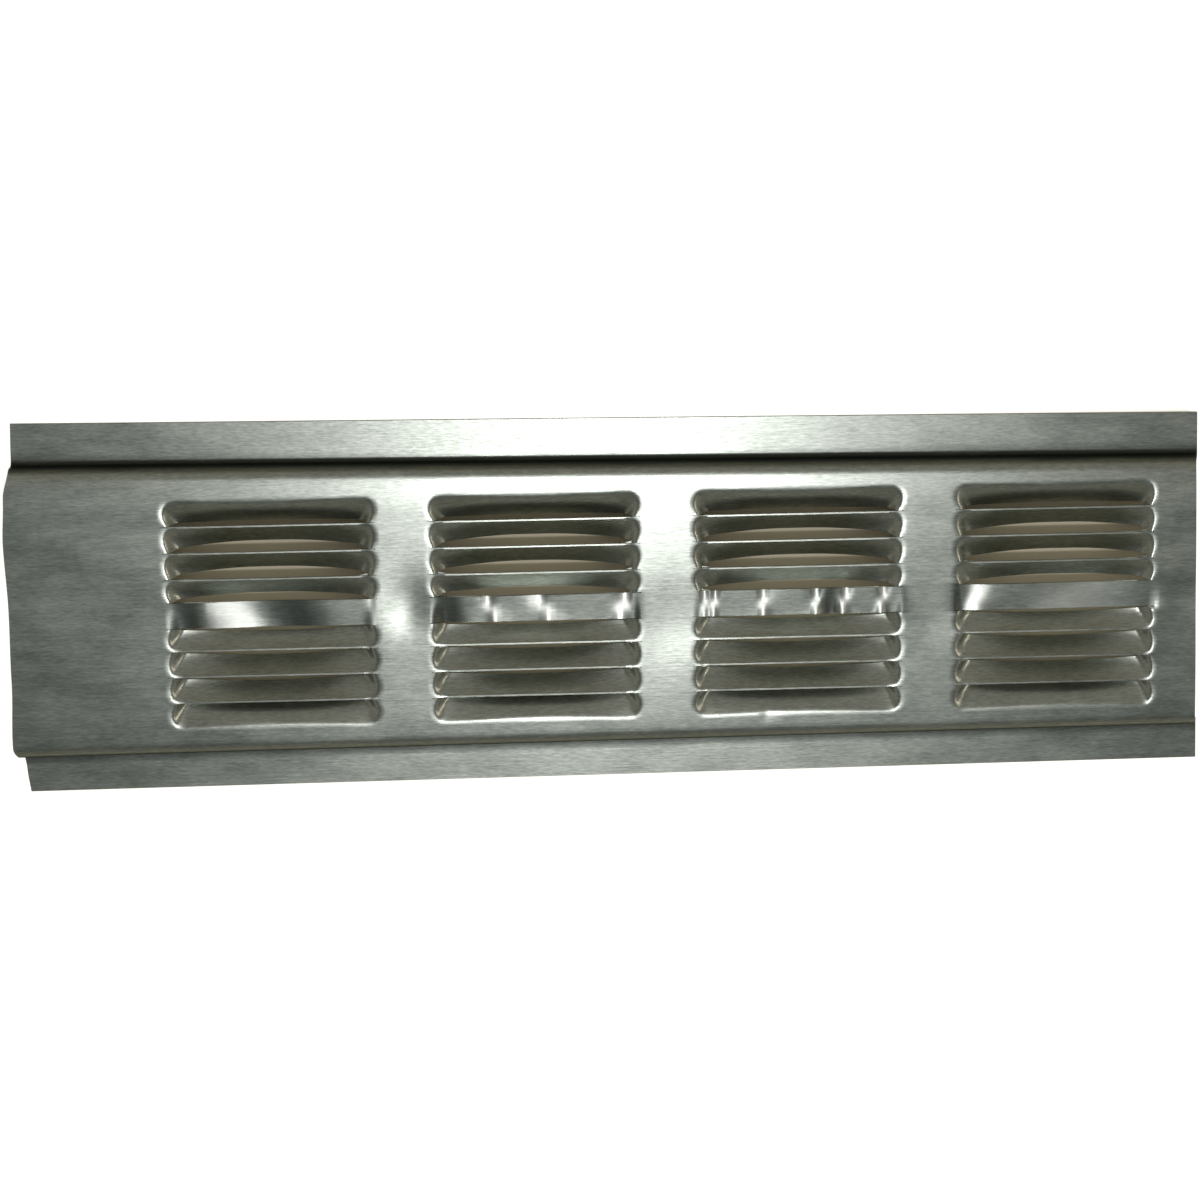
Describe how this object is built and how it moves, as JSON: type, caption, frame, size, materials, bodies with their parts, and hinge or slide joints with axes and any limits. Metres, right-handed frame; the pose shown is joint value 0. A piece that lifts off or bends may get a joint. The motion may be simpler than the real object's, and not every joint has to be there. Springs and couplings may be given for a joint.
{
  "type": "louvred vent strip",
  "caption": "Thin sheet metal vent strip folded to a shallow hat section, with groups of pressed louvres either side of a centre bar.",
  "frame": {"origin": "middle of the footprint, on the plane of the flange backs", "axes": "+X along the strip towards its straight end, +Y across it towards the wider sprung side, +Z out of the louvred face"},
  "size_m": [0.2328, 0.0734, 0.0063],
  "materials": {
    "mill_aluminium": "bare mill finish, fine grain along the strip"
  },
  "bodies": {
    "root": {"louvred_panel": "mill_aluminium"}
  },
  "joints": []
}
